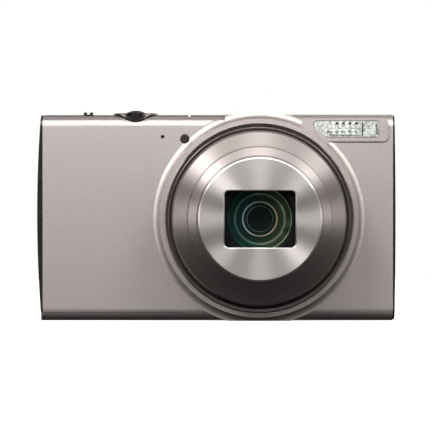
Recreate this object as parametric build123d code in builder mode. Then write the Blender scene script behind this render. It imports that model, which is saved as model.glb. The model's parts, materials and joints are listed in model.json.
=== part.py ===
from build123d import *
from math import asin, copysign, cos, sin
import os

# Compact digital camera with a three-stage zoom lens, in millimetres.
# +Z is up, the lens looks along -Y and +X is to the right as seen from the front.
# The origin is the mouth of the tripod socket in the bottom face, half way between front and rear.
# The lens stands at its wide-angle stop, with its barrier blades open.

os.makedirs("parts", exist_ok=True)

# ---------------------------------------------------------------- body sizes
body_left = -48.8
body_right = 49.0
body_length = body_right - body_left
body_height = 57.6
body_depth = 20.0
front_y = -body_depth / 2
rear_y = body_depth / 2
wall = 0.8
front_edge_radius = 3.4
rear_edge_radius = 2.2
shell_joint_y = 0.8           # where the front panel meets the rear cover
gap = 0.1                     # parting gap between neighbouring covers
big = 200.0                   # larger than the whole camera, for cutting tools
ahead_y = -20.0               # where cuts from the front start
behind_y = 20.0               # where cuts from the rear start
under_top_z = 50.0            # where cuts up through the top face start
close_gap = 0.05              # clearance of screws, lamps and hinge lugs in their holes

top_cover_right = 2.0
top_cover_bottom = 55.95
top_cover_top = 57.15

# ---------------------------------------------------------------- lens sizes
lens_x = 11.6
lens_z = 28.7
ring_front_y = -12.8          # front of the trim ring, the camera's front when switched off
ring_inner_radius = 24.45
ring_outer_radius = 26.4
collar_bore_radius = 26.45
collar_crest_radius = 27.7
collar_foot_radius = 30.0
collar_front_y = -12.0
collar_rear_y = -5.0
collar_flank = (28.2, -10.75)  # radius and depth half way down the collar's hollow flank

base_outer_radius = 25.2
base_inner_radius = 24.35
base_front_y = -9.15
base_wall_y = 4.0             # front face of the wall that carries the sensor
base_wall = 0.8

outer_barrel_radius = 23.85
outer_barrel_front_y = -18.3
outer_barrel_length = 14.4
middle_barrel_radius = 19.7
middle_barrel_front_y = -24.8
middle_barrel_length = 14.0
inner_barrel_radius = 17.0
inner_barrel_front_y = -29.15
inner_barrel_length = 12.25
barrel_wall = 0.8
barrel_flange = 1.1           # thickness of each barrel's front and rear flanges
barrel_slope = 0.7            # how far the rim of a barrel's front face lies behind its bore
barrel_bevel = 0.12           # bevel of each barrel's outermost front edge
barrel_rim = 0.3              # flat rim round each barrel's bore
barrel_slip = 0.15            # radial gap between one barrel and the flange it slides through

cap_front_y = -30.3
cap_thickness = 1.1
cap_radius = 16.95
cap_bevel = 0.45
window_width = 19.4
window_height = 15.5
window_corner = 1.3

blade_thickness = 0.25
blade_height = 4.75
blade_half_width = 10.3
blade_edge = window_height / 2 + 0.1
blade_rim_radius = 15.9
near_blade_y = -29.05         # front faces of the two layers of barrier blades
far_blade_y = -28.7

# ---------------------------------------------------------------- planes and axes
lens_axis = Axis((lens_x, 0, lens_z), (0, 1, 0))
lens_side = Plane(origin=(lens_x, 0, lens_z), x_dir=(1, 0, 0), z_dir=(0, 0, 1))


def front_plane(y):
    """Plane facing the subject at depth y, with X to the right and Z up."""
    return Plane(origin=(0, y, 0), x_dir=(1, 0, 0), z_dir=(0, -1, 0))


def lens_plane(y):
    """The same plane, with its origin on the lens axis."""
    return Plane(origin=(lens_x, y, lens_z), x_dir=(1, 0, 0), z_dir=(0, -1, 0))


def dome(edge, apex):
    """Arc of a sphere centred on the local Y axis, from the edge point to the apex."""
    rise = apex[1] - edge[1]
    sphere_radius = (edge[0] ** 2 + rise ** 2) / (2 * abs(rise))
    half_angle = asin(edge[0] / sphere_radius) / 2
    sagitta = sphere_radius * (1 - cos(half_angle))
    middle = (sphere_radius * sin(half_angle), apex[1] - copysign(sagitta, rise))
    return ThreePointArc(edge, middle, apex)


# ---------------------------------------------------------------- reference solids of the body
def body_bar(inset, height):
    """Bar along X with the body's cross-section, shrunk by inset all round."""
    with BuildPart() as bar:
        with BuildSketch(Plane.YZ.offset(body_left)) as section:
            with Locations((0, height / 2)):
                Rectangle(body_depth - 2 * inset, height - 2 * inset)
            fillet(section.vertices().group_by(Axis.X)[0], front_edge_radius - inset)
            fillet(section.vertices().group_by(Axis.X)[-1], rear_edge_radius - inset)
        extrude(amount=body_length)
    return bar.part


envelope = body_bar(0, body_height)
interior = body_bar(wall, body_height)
low_envelope = body_bar(0, top_cover_top)
low_interior = body_bar(wall, top_cover_top)

# ---------------------------------------------------------------- controls and openings
lever_x = -22.9
lever_y = -3.2
lever_radius = 6.25
lever_pocket_radius = 6.4
lever_pocket_floor = 55.3
lever_cup_wall = 0.8          # wall of the cup that the lever turns in
shutter_radius = 3.1
shutter_top_z = 58.8
shutter_edge_z = 57.75
shutter_skirt_z = 56.4
shutter_stem_radius = 1.3
shutter_stem_z = 54.2         # lower end of the button's stem

mode_x = -36.3
mode_y = -2.4
mode_travel = 2.8

power_x = -9.6
power_y = -3.0
power_radius = 2.3

mic_x = -15.3
mic_z = 51.4
mic_hole_radius = 0.52
lamp_x = -9.1
lamp_z = 50.8
lamp_radius = 1.3

flash_pad_front_y = -10.5
flash_pad_x = 35.6
flash_pad_z = 53.35
flash_pad_width = 24.0
flash_pad_height = 6.5
flash_pad_corner = 1.4
flash_outline = [
    (26.7, 55.0), (27.5, 55.8), (44.5, 55.8), (45.0, 55.3),
    (45.0, 51.8), (44.5, 51.3), (30.8, 51.3), (27.0, 53.9),
]

speaker_x = 38.0
speaker_y = 4.0
speaker_hole_radius = 0.35

tripod_bore_radius = 2.6      # tapping size of the quarter-inch camera thread
tripod_bore_depth = 4.5
tripod_boss_radius = 4.2

door_right = -9.2
door_left = -49.3
door_top = 2.25
door_rear_y = 6.0
hinge_y = 7.4
hinge_z = 1.5
hinge_pin_radius = 0.6
hinge_hole_radius = 0.65
knuckle_radius = 1.3
knuckle_length = 6.0
knuckle_centres = [-44.0, -29.5, -15.0]
lug_length = 4.0              # fixed lugs between the door's knuckles

display_centre_x = 13.4
display_centre_z = 28.8
display_width = 67.8
display_height = 51.6
display_corner = 1.6

pad_x = -34.9                 # four-way control
pad_z = 26.5
pad_outer_radius = 9.6
pad_inner_radius = 4.9
set_radius = 4.5
rear_buttons = {
    "movie_button": (-29.4, 48.6, 2.8),
    "playback_button": (-29.2, 40.4, 2.2),
    "wireless_button": (-41.2, 40.4, 2.2),
    "menu_button": (-41.2, 12.6, 2.2),
}
button_clearance = 0.12
indicator_x = -41.4
indicator_z = 49.0
indicator_radius = 0.8

screw_head_radius = 1.1
screw_head_height = 0.45
screw_shank_radius = 0.7
screw_length = 3.0
bottom_screws = [(24.0, 5.0), (44.5, 4.0)]
right_screws = [(-3.0, 4.6), (-3.0, 46.5)]
left_screws = [(-3.0, 49.0), (2.6, 42.0)]

terminal_low = 14.6
terminal_high = 34.6
terminal_front_y = 1.6
terminal_rear_y = 8.0
terminal_gap = 0.15           # clearance round the terminal door

# ================================================================ covers
# The front panel is a folded metal shell with the lens collar and the flash pad drawn out of it.
with BuildPart() as collar:
    with BuildSketch(lens_side):
        with BuildLine():
            crest = (collar_crest_radius, collar_front_y)
            foot = (collar_foot_radius, front_y + 0.02)
            Polyline(
                foot, (collar_foot_radius, collar_rear_y), (collar_bore_radius, collar_rear_y),
                (collar_bore_radius, collar_front_y), crest,
            )
            ThreePointArc(crest, collar_flank, foot)
        make_face()
    revolve(axis=lens_axis)
    with BuildSketch(front_plane(0)):
        with Locations((lens_x, body_height / 2)):
            Rectangle(80, body_height)
    extrude(amount=30, mode=Mode.INTERSECT)
    add(interior, mode=Mode.SUBTRACT)

with BuildPart() as flash_pad:
    with BuildSketch(front_plane(flash_pad_front_y)) as pad_outline:
        with Locations((flash_pad_x, flash_pad_z)):
            Rectangle(flash_pad_width, flash_pad_height)
        fillet(pad_outline.vertices(), flash_pad_corner)
    extrude(amount=-4)
    add(interior, mode=Mode.SUBTRACT)

with BuildPart() as front_panel:
    add(envelope)
    add(interior, mode=Mode.SUBTRACT)
    with Locations((0, rear_y + shell_joint_y, 0)):
        Box(big, body_depth, big, mode=Mode.SUBTRACT)
    add(collar.part)
    add(flash_pad.part)
    with BuildSketch(lens_plane(ahead_y)):
        Circle(collar_bore_radius)
    extrude(amount=-17, mode=Mode.SUBTRACT)
    with BuildSketch(front_plane(ahead_y)):
        Polygon(*flash_outline, align=None)
        offset(amount=gap, kind=Kind.INTERSECTION)
    extrude(amount=-13, mode=Mode.SUBTRACT)
    with BuildSketch(front_plane(ahead_y)):
        with Locations((mic_x, mic_z)):
            Circle(mic_hole_radius)
        with Locations((lamp_x, lamp_z)):
            Circle(lamp_radius + close_gap)
    extrude(amount=-13, mode=Mode.SUBTRACT)
    # room for the top cover on the left and for the battery door below
    with Locations(((body_left + top_cover_right) / 2, 0, top_cover_bottom + 5)):
        Box(body_length / 2 + 2, 4 * body_depth, 10, mode=Mode.SUBTRACT)
    with Locations(((body_left + door_right) / 2 - 5, 0, 0)):
        Box(door_right - body_left + 10 + gap, 4 * body_depth, 2 * (door_top + gap), mode=Mode.SUBTRACT)
    with BuildSketch(Plane.XY.offset(lever_pocket_floor - lever_cup_wall - gap)):
        with Locations((lever_x, lever_y)):
            Circle(lever_pocket_radius + lever_cup_wall + gap)
    extrude(amount=4, mode=Mode.SUBTRACT)
    Cylinder(tripod_boss_radius + gap, 12, mode=Mode.SUBTRACT)
front_panel.part.label = "front_panel"
export_step(front_panel.part, "parts/front_panel.step")

# The top cover closes the control end of the top face and holds the cup of the zoom lever.
with BuildPart() as top_cover:
    add(low_envelope)
    add(low_interior, mode=Mode.SUBTRACT)
    cover_length = top_cover_right - gap - body_left
    with Locations((body_left + cover_length / 2, front_y + (shell_joint_y - front_y) / 2, 60)):
        Box(cover_length, shell_joint_y - front_y, 2 * (60 - top_cover_bottom - gap), mode=Mode.INTERSECT)
    with BuildSketch(Plane.XY.offset(lever_pocket_floor - lever_cup_wall)):
        with Locations((lever_x, lever_y)):
            Circle(lever_pocket_radius + lever_cup_wall)
    extrude(amount=top_cover_top - lever_pocket_floor + lever_cup_wall)
    add(low_envelope, mode=Mode.INTERSECT)
    with BuildSketch(Plane.XY.offset(lever_pocket_floor)):
        with Locations((lever_x, lever_y)):
            Circle(lever_pocket_radius)
    extrude(amount=10, mode=Mode.SUBTRACT)
    with BuildSketch(Plane.XY.offset(under_top_z)):
        with Locations((lever_x, lever_y)):
            Circle(shutter_stem_radius + close_gap)
        with Locations((power_x, power_y)):
            Circle(power_radius + button_clearance)
        with Locations((mode_x, mode_y)):
            SlotOverall(2 * mode_travel + 2.4, 1.7)
    extrude(amount=20, mode=Mode.SUBTRACT)
top_cover.part.label = "top_cover"
export_step(top_cover.part, "parts/top_cover.step")

# The rear cover is the plastic half of the body, open for the display and the keys.
with BuildPart() as rear_cover:
    add(envelope)
    add(interior, mode=Mode.SUBTRACT)
    with Locations((0, front_y + shell_joint_y + gap, 0)):
        Box(big, body_depth, big, mode=Mode.SUBTRACT)
    with BuildSketch(front_plane(behind_y)):
        with Locations((display_centre_x, display_centre_z)):
            RectangleRounded(display_width + 2 * gap, display_height + 2 * gap, display_corner + gap)
    extrude(amount=12, mode=Mode.SUBTRACT)
    with BuildSketch(front_plane(behind_y)):
        with Locations((pad_x, pad_z)):
            Circle(pad_outer_radius + button_clearance)
        for key_x, key_z, key_radius in rear_buttons.values():
            with Locations((key_x, key_z)):
                Circle(key_radius + button_clearance)
        with Locations((indicator_x, indicator_z)):
            Circle(indicator_radius + close_gap)
    extrude(amount=12, mode=Mode.SUBTRACT)
    # bottom edge beside the battery door, with two lugs for the hinge pin
    with Locations(((body_left + door_right) / 2 - 5, rear_y - wall - 5, 0)):
        Box(door_right - body_left + 10 + gap, 10, 2 * (door_top + gap), mode=Mode.SUBTRACT)
    for first, second in zip(knuckle_centres, knuckle_centres[1:]):
        with BuildSketch(Plane.YZ.offset((first + second) / 2 - lug_length / 2)):
            with Locations((hinge_y, hinge_z)):
                Circle(knuckle_radius - close_gap)
            with Locations((hinge_y + 1.0, hinge_z + 0.6)):
                Rectangle(2.0, 1.3)
        extrude(amount=lug_length)
    with BuildSketch(Plane.YZ.offset(body_left)):
        with Locations((hinge_y, hinge_z)):
            Circle(hinge_hole_radius)
    extrude(amount=door_right - body_left, mode=Mode.SUBTRACT)
    with BuildSketch(Plane.XY.offset(lever_pocket_floor - lever_cup_wall - gap)):
        with Locations((lever_x, lever_y)):
            Circle(lever_pocket_radius + lever_cup_wall + gap)
    extrude(amount=4, mode=Mode.SUBTRACT)
    Cylinder(tripod_boss_radius + gap, 12, mode=Mode.SUBTRACT)
    for screw_x, screw_y in bottom_screws:
        with Locations((screw_x, screw_y, 0)):
            Cylinder(screw_head_radius + close_gap, 2 * screw_head_height + gap, mode=Mode.SUBTRACT)
            Cylinder(screw_shank_radius + close_gap, 8, mode=Mode.SUBTRACT)
    with BuildSketch(Plane.XY.offset(under_top_z)):
        with Locations((speaker_x, speaker_y)):
            with GridLocations(1.6, 1.5, 5, 2):
                Circle(speaker_hole_radius)
    extrude(amount=20, mode=Mode.SUBTRACT)
rear_cover.part.label = "rear_cover"
export_step(rear_cover.part, "parts/rear_cover.step")


def end_plate(inner_x, outward, outline):
    """Side trim: the body's cross-section, crowned as the XZ outline says."""
    with BuildPart() as plate:
        with BuildSketch(Plane.YZ.offset(inner_x)) as section:
            with Locations((0, body_height / 2)):
                Rectangle(body_depth - 0.3, body_height - 0.3)
            fillet(section.vertices().group_by(Axis.X)[0], front_edge_radius)
            fillet(section.vertices().group_by(Axis.X)[-1], rear_edge_radius)
        extrude(amount=outward)
        with BuildSketch(front_plane(ahead_y)):
            with BuildLine():
                low, middle, high = outline
                Line((inner_x, low[1]), low)
                ThreePointArc(low, middle, high)
                Polyline(high, (inner_x, high[1]), (inner_x, low[1]))
            make_face()
        extrude(amount=-40, mode=Mode.INTERSECT)
    return plate.part


# grip end: crowned trim with the recess for the strap bar
strap_y = 3.5
strap_z = 28.75
with BuildPart() as grip_side_trim:
    add(end_plate(body_left, -3, [(-49.2, 0.3), (-50.35, 28.0), (-49.3, 57.4)]))
    with Locations((-47.8, strap_y, strap_z)):
        Box(2.0, 7.2, 11.0)
    with Locations((-48.4, strap_y, strap_z)):
        Box(4.2, 5.4, 9.2, mode=Mode.SUBTRACT)
    with Locations((-47.9, strap_y, strap_z)):
        Box(2.2, 5.4, 9.2, mode=Mode.SUBTRACT)
    with Locations((-47.0, strap_y, strap_z)):
        Box(0.4, 7.2, 11.0)
    with Locations((-50, 0, 0)):
        Box(4, 40, 2 * (door_top + gap), mode=Mode.SUBTRACT)
    for screw_y, screw_z in left_screws:
        with BuildSketch(Plane.YZ.offset(-51)):
            with Locations((screw_y, screw_z)):
                Circle(screw_head_radius + close_gap)
        extrude(amount=1.75, mode=Mode.SUBTRACT)
        with BuildSketch(Plane.YZ.offset(-51)):
            with Locations((screw_y, screw_z)):
                Circle(screw_shank_radius + close_gap)
        extrude(amount=5, mode=Mode.SUBTRACT)
grip_side_trim.part.label = "grip_side_trim"
export_step(grip_side_trim.part, "parts/grip_side_trim.step")

# terminal end: flat trim with the opening for the terminal door
with BuildPart() as terminal_side_trim:
    add(end_plate(body_right, 3, [(49.5, 0.3), (49.75, 28.0), (49.45, 57.3)]))
    with Locations((50, (terminal_front_y + terminal_rear_y) / 2, (terminal_low + terminal_high) / 2)):
        Box(4, terminal_rear_y - terminal_front_y, terminal_high - terminal_low, mode=Mode.SUBTRACT)
    for screw_y, screw_z in right_screws:
        with BuildSketch(Plane.YZ.offset(51)):
            with Locations((screw_y, screw_z)):
                Circle(screw_head_radius + close_gap)
        extrude(amount=-1.9, mode=Mode.SUBTRACT)
        with BuildSketch(Plane.YZ.offset(51)):
            with Locations((screw_y, screw_z)):
                Circle(screw_shank_radius + close_gap)
        extrude(amount=-5, mode=Mode.SUBTRACT)
terminal_side_trim.part.label = "terminal_side_trim"
export_step(terminal_side_trim.part, "parts/terminal_side_trim.step")

with BuildPart() as strap_lug:
    with Locations((-50.0, strap_y, strap_z)):
        Box(1.0, 5.36, 3.9)
    fillet(strap_lug.edges().filter_by(Axis.Y), 0.3)
strap_lug.part.label = "strap_lug"
export_step(strap_lug.part, "parts/strap_lug.step")

# cross-head screws, all of one size
with BuildPart() as body_screws:
    screw_planes = [Plane(origin=(x, y, 0.05), z_dir=(0, 0, -1)) for x, y in bottom_screws]
    screw_planes += [Plane(origin=(49.6, y, z), z_dir=(1, 0, 0)) for y, z in right_screws]
    screw_planes += [Plane(origin=(-49.8, y, z), z_dir=(-1, 0, 0)) for y, z in left_screws]
    for screw_plane in screw_planes:
        with BuildSketch(screw_plane.offset(-screw_head_height)):
            Circle(screw_head_radius)
        extrude(amount=screw_head_height)
        with BuildSketch(screw_plane.offset(-screw_head_height)):
            Circle(screw_shank_radius)
        extrude(amount=-screw_length)
        with BuildSketch(screw_plane.offset(-0.25)):
            Rectangle(1.3, 0.3)
            Rectangle(0.3, 1.3)
        extrude(amount=0.3, mode=Mode.SUBTRACT)
body_screws.part.label = "body_screws"
export_step(body_screws.part, "parts/body_screws.step")

with BuildPart() as tripod_socket:
    with BuildSketch(Plane.XY):
        Circle(tripod_boss_radius)
    extrude(amount=5.1)
    with BuildSketch(Plane.XY):
        Circle(tripod_bore_radius)
    extrude(amount=tripod_bore_depth, mode=Mode.SUBTRACT)
    with BuildSketch(lens_plane(ahead_y)):
        Circle(base_outer_radius + 0.15)
    extrude(amount=-40, mode=Mode.SUBTRACT)
tripod_socket.part.label = "tripod_socket"
export_step(tripod_socket.part, "parts/tripod_socket.step")

# ================================================================ battery door
with BuildPart() as door_hinge_pin:
    with BuildSketch(Plane.YZ.offset(-48.0)):
        with Locations((hinge_y, hinge_z)):
            Circle(hinge_pin_radius)
    extrude(amount=37.4)
door_hinge_pin.part.label = "door_hinge_pin"
export_step(door_hinge_pin.part, "parts/door_hinge_pin.step")

with BuildPart() as battery_door:
    with BuildSketch(Plane.YZ.offset(door_left)) as door_section:
        with Locations((0, body_height / 2)):
            Rectangle(body_depth, body_height)
        fillet(door_section.vertices().group_by(Axis.X)[0], front_edge_radius)
    extrude(amount=door_right - door_left)
    with Locations((0, door_rear_y - 20, door_top / 2)):
        Box(big, 40, door_top, mode=Mode.INTERSECT)
    for knuckle_x in knuckle_centres:
        with BuildSketch(Plane.YZ.offset(knuckle_x - knuckle_length / 2)):
            with Locations((hinge_y, hinge_z)):
                Circle(knuckle_radius)
            with Locations((hinge_y - 1.0, hinge_z - 0.35)):
                Rectangle(2.0, 1.5)
        extrude(amount=knuckle_length)
    with BuildSketch(Plane.YZ.offset(door_left)):
        with Locations((hinge_y, hinge_z)):
            Circle(hinge_hole_radius)
    extrude(amount=door_right - door_left, mode=Mode.SUBTRACT)
    for rib_x in (-46.5, -11.0):
        with Locations((rib_x, -2.0, door_top + 0.4)):
            Box(1.0, 8.0, 0.8)
battery_door.part.label = "battery_door"
export_step(battery_door.part, "parts/battery_door.step")

# ================================================================ lens
with BuildPart() as lens_trim_ring:
    with BuildSketch(lens_side):
        with BuildLine():
            Polyline(
                (ring_inner_radius, -9.3), (ring_inner_radius, -11.4), (25.15, ring_front_y + 0.15),
                (25.3, ring_front_y), (25.4, ring_front_y + 0.12), (25.5, ring_front_y + 0.12),
                (25.6, ring_front_y), (26.1, ring_front_y), (ring_outer_radius, ring_front_y + 0.35),
                (ring_outer_radius, -9.3), close=True,
            )
        make_face()
    revolve(axis=lens_axis)
lens_trim_ring.part.label = "lens_trim_ring"
export_step(lens_trim_ring.part, "parts/lens_trim_ring.step")

with BuildPart() as lens_base:
    with BuildSketch(lens_plane(base_front_y)):
        Circle(base_outer_radius)
    extrude(amount=-(base_wall_y + base_wall - base_front_y))
    with BuildSketch(lens_plane(base_front_y)):
        Circle(base_inner_radius)
    extrude(amount=-(base_wall_y - base_front_y), mode=Mode.SUBTRACT)
    with BuildSketch(lens_plane(0)):
        Rectangle(9.6, 8.6)
    extrude(amount=-10, mode=Mode.SUBTRACT)
lens_base.part.label = "lens_base"
export_step(lens_base.part, "parts/lens_base.step")


def barrel(front_y, length, radius, front_bore, rear_flange_radius):
    """Tube with an inward flange in front and, where asked, an outward one behind."""
    with BuildPart() as tube:
        with BuildSketch(lens_plane(front_y)):
            Circle(radius)
        extrude(amount=-length)
        if rear_flange_radius > radius:
            with BuildSketch(lens_plane(front_y + length - barrel_flange)):
                Circle(rear_flange_radius)
            extrude(amount=-barrel_flange)
        with BuildSketch(lens_plane(front_y + barrel_flange)):
            Circle(radius - barrel_wall)
        extrude(amount=-length, mode=Mode.SUBTRACT)
        with BuildSketch(lens_plane(front_y)):
            Circle(front_bore)
        extrude(amount=-barrel_flange, mode=Mode.SUBTRACT)
        # the front face leans back towards its rim, like a very flat cone
        with BuildSketch(lens_side):
            with BuildLine():
                Polyline(
                    (front_bore + barrel_rim, front_y), (radius, front_y + barrel_slope),
                    (radius, front_y - 1), (front_bore + barrel_rim, front_y - 1), close=True,
                )
            make_face()
        revolve(axis=lens_axis, mode=Mode.SUBTRACT)
        chamfer(tube.edges().filter_by(GeomType.CIRCLE).sort_by(Axis.Y)[0], barrel_bevel)
    return tube.part


# The outer barrel also carries the focus lens on a plate across its rear end.
focus_plate_y = -3.5
focus_plate_thickness = 0.8
focus_hole_radius = 6.0
lightening_hole_radius = 4.5
lightening_hole_circle = 14.5
with BuildPart() as outer_barrel:
    add(barrel(outer_barrel_front_y, outer_barrel_length, outer_barrel_radius,
               middle_barrel_radius + barrel_slip, 0))
    with BuildSketch(lens_plane(focus_plate_y)):
        Circle(outer_barrel_radius)
    extrude(amount=-focus_plate_thickness)
    with BuildSketch(lens_plane(focus_plate_y - 0.4)):
        Circle(outer_barrel_radius)
        Circle(outer_barrel_radius - barrel_wall, mode=Mode.SUBTRACT)
    extrude(amount=-0.4)
    with BuildSketch(lens_plane(focus_plate_y)):
        Circle(focus_hole_radius)
        with PolarLocations(lightening_hole_circle, 6):
            Circle(lightening_hole_radius)
    extrude(amount=-focus_plate_thickness, mode=Mode.SUBTRACT)
outer_barrel.part.label = "outer_barrel"
export_step(outer_barrel.part, "parts/outer_barrel.step")

with BuildPart() as focus_lens:
    with BuildSketch(lens_side):
        with BuildLine():
            Polyline((0, -4.6), (0, -2.6), (5.95, -2.6), (5.95, -4.0))
            dome((5.95, -4.0), (0, -4.6))
        make_face()
    revolve(axis=lens_axis)
focus_lens.part.label = "focus_lens"
export_step(focus_lens.part, "parts/focus_lens.step")

with BuildPart() as middle_barrel:
    add(barrel(middle_barrel_front_y, middle_barrel_length, middle_barrel_radius,
               inner_barrel_radius + barrel_slip, 22.8))
middle_barrel.part.label = "middle_barrel"
export_step(middle_barrel.part, "parts/middle_barrel.step")

# shutter, iris and zoom lens on one disc across the middle barrel
shutter_y = -11.3
with BuildPart() as shutter_unit:
    with BuildSketch(lens_plane(shutter_y)):
        Circle(middle_barrel_radius - barrel_wall - 0.02)
    extrude(amount=-1.0)
    with BuildSketch(lens_plane(shutter_y)):
        Circle(11.0)
    extrude(amount=4.0)
    with BuildSketch(lens_plane(shutter_y + 1.0)):
        Circle(6.0)
    extrude(amount=6.0, mode=Mode.SUBTRACT)
shutter_unit.part.label = "shutter_unit"
export_step(shutter_unit.part, "parts/shutter_unit.step")

with BuildPart() as zoom_lens:
    with BuildSketch(lens_side):
        with BuildLine():
            Polyline((0, -16.6), (0, -13.0), (5.95, -13.0), (5.95, -15.4))
            dome((5.95, -15.4), (0, -16.6))
        make_face()
    revolve(axis=lens_axis)
zoom_lens.part.label = "zoom_lens"
export_step(zoom_lens.part, "parts/zoom_lens.step")

with BuildPart() as inner_barrel:
    with BuildSketch(lens_plane(inner_barrel_front_y)):
        Circle(inner_barrel_radius)
    extrude(amount=-inner_barrel_length)
    with BuildSketch(lens_plane(inner_barrel_front_y + inner_barrel_length - barrel_flange)):
        Circle(middle_barrel_radius - barrel_wall - 0.2)
    extrude(amount=-barrel_flange)
    with BuildSketch(lens_plane(inner_barrel_front_y)):
        Circle(inner_barrel_radius - barrel_wall)
    extrude(amount=-inner_barrel_length, mode=Mode.SUBTRACT)
inner_barrel.part.label = "inner_barrel"
export_step(inner_barrel.part, "parts/inner_barrel.step")

with BuildPart() as front_cap:
    with BuildSketch(lens_plane(cap_front_y)):
        Circle(cap_radius)
    extrude(amount=-cap_thickness)
    chamfer(front_cap.edges().filter_by(GeomType.CIRCLE).group_by(Axis.Y)[0], 0.3, cap_bevel)
    with BuildSketch(lens_plane(cap_front_y)):
        RectangleRounded(window_width, window_height, window_corner)
    extrude(amount=-cap_thickness, mode=Mode.SUBTRACT)
    chamfer(front_cap.faces().sort_by(Axis.Y)[0].inner_wires().edges(), 0.3)
front_cap.part.label = "front_cap"
export_step(front_cap.part, "parts/front_cap.step")

# Four barrier blades in two layers: the near pair meets in the middle, the far pair follows half way.
blades = {
    "barrier_blade_upper_near": (near_blade_y, 1),
    "barrier_blade_upper_far": (far_blade_y, 1),
    "barrier_blade_lower_near": (near_blade_y, -1),
    "barrier_blade_lower_far": (far_blade_y, -1),
}
for blade_name, (blade_y, side) in blades.items():
    with BuildPart() as barrier_blade:
        with BuildSketch(lens_plane(blade_y)):
            with Locations((0, side * (blade_edge + blade_height / 2))):
                Rectangle(2 * blade_half_width, blade_height)
            Circle(blade_rim_radius, mode=Mode.INTERSECT)
        extrude(amount=-blade_thickness)
    barrier_blade.part.label = blade_name
    export_step(barrier_blade.part, f"parts/{blade_name}.step")

cell_front_y = -28.3
with BuildPart() as front_cell:
    with BuildSketch(lens_side):
        with BuildLine():
            Polyline(
                (9.5, -24.0), (9.5, -27.2), (9.1, -27.6), (9.6, cell_front_y), (16.1, cell_front_y),
                (16.1, -26.9), (12.0, -26.9), (12.0, -24.0), close=True,
            )
        make_face()
    revolve(axis=lens_axis)
front_cell.part.label = "front_cell"
export_step(front_cell.part, "parts/front_cell.step")

with BuildPart() as front_element:
    with BuildSketch(lens_side):
        with BuildLine():
            Line((0, -28.15), (0, -25.2))
            dome((9.0, -24.5), (0, -25.2))
            Polyline((9.0, -24.5), (9.4, -24.5), (9.4, -26.9), (8.9, -26.95))
            dome((8.9, -26.95), (0, -28.15))
        make_face()
    revolve(axis=lens_axis)
front_element.part.label = "front_element"
export_step(front_element.part, "parts/front_element.step")

# ================================================================ controls
with BuildPart() as zoom_lever:
    with BuildSketch(Plane(origin=(lever_x, lever_y, 0), x_dir=(1, 0, 0), z_dir=(0, -1, 0))):
        with BuildLine():
            Polyline(
                (3.3, 55.5), (5.6, 55.5), (lever_radius - 0.35, 57.1), (lever_radius, 57.9),
                (5.7, 58.0), (4.2, 57.35), (3.3, 57.3), close=True,
            )
        make_face()
    revolve(axis=Axis((lever_x, lever_y, 0), (0, 0, 1)))
    with BuildSketch(Plane.XY.offset(56.35)):
        with Locations((lever_x, lever_y - 6.35)):
            Rectangle(2.1, 1.6)
    extrude(amount=1.75)
zoom_lever.part.label = "zoom_lever"
export_step(zoom_lever.part, "parts/zoom_lever.step")

with BuildPart() as shutter_button:
    with BuildSketch(Plane(origin=(lever_x, lever_y, 0), x_dir=(1, 0, 0), z_dir=(0, -1, 0))):
        with BuildLine():
            Polyline(
                (0, shutter_top_z), (0, shutter_stem_z), (shutter_stem_radius, shutter_stem_z),
                (shutter_stem_radius, shutter_skirt_z), (shutter_radius, shutter_skirt_z),
                (shutter_radius, shutter_edge_z),
            )
            dome((shutter_radius, shutter_edge_z), (0, shutter_top_z))
        make_face()
    revolve(axis=Axis((lever_x, lever_y, 0), (0, 0, 1)))
shutter_button.part.label = "shutter_button"
export_step(shutter_button.part, "parts/shutter_button.step")

with BuildPart() as mode_switch:
    with Locations((mode_x, mode_y, 57.45)):
        Box(2.6, 3.0, 0.5)
    with Locations((mode_x - 0.85, mode_y, 57.95), (mode_x + 0.85, mode_y, 57.95)):
        Box(0.8, 2.6, 0.7)
    with Locations((mode_x, mode_y, 56.3)):
        Box(1.6, 1.3, 2.2)
    with Locations((mode_x, mode_y, 55.0)):
        Box(3.0, 3.0, 0.6)
mode_switch.part.label = "mode_switch"
export_step(mode_switch.part, "parts/mode_switch.step")

with BuildPart() as power_button:
    with BuildSketch(Plane.XY.offset(55.6)):
        with Locations((power_x, power_y)):
            Circle(power_radius)
    extrude(amount=1.75)
    chamfer(power_button.faces().sort_by(Axis.Z)[-1].edges(), 0.2)
    with BuildSketch(Plane.XY.offset(55.0)):
        with Locations((power_x, power_y)):
            Circle(power_radius + 0.5)
    extrude(amount=0.6)
power_button.part.label = "power_button"
export_step(power_button.part, "parts/power_button.step")

key_front_y = 8.3
key_flange = 0.6
key_top_y = rear_y + 0.35
key_stem_y = 7.25
pad_top_y = rear_y + 0.5
pad_flange = 0.7
set_top_y = rear_y + 0.3
for key_name, (key_x, key_z, key_radius) in rear_buttons.items():
    with BuildPart() as rear_key:
        with BuildSketch(front_plane(key_top_y)):
            with Locations((key_x, key_z)):
                Circle(key_radius)
        extrude(amount=key_top_y - key_front_y)
        chamfer(rear_key.faces().sort_by(Axis.Y)[-1].edges(), 0.25)
        with BuildSketch(front_plane(key_front_y + key_flange)):
            with Locations((key_x, key_z)):
                Circle(key_radius + key_flange)
        extrude(amount=key_flange)
        with BuildSketch(front_plane(key_front_y)):
            with Locations((key_x, key_z)):
                Circle(1.0)
        extrude(amount=key_front_y - key_stem_y)
    rear_key.part.label = key_name
    export_step(rear_key.part, f"parts/{key_name}.step")

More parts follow.
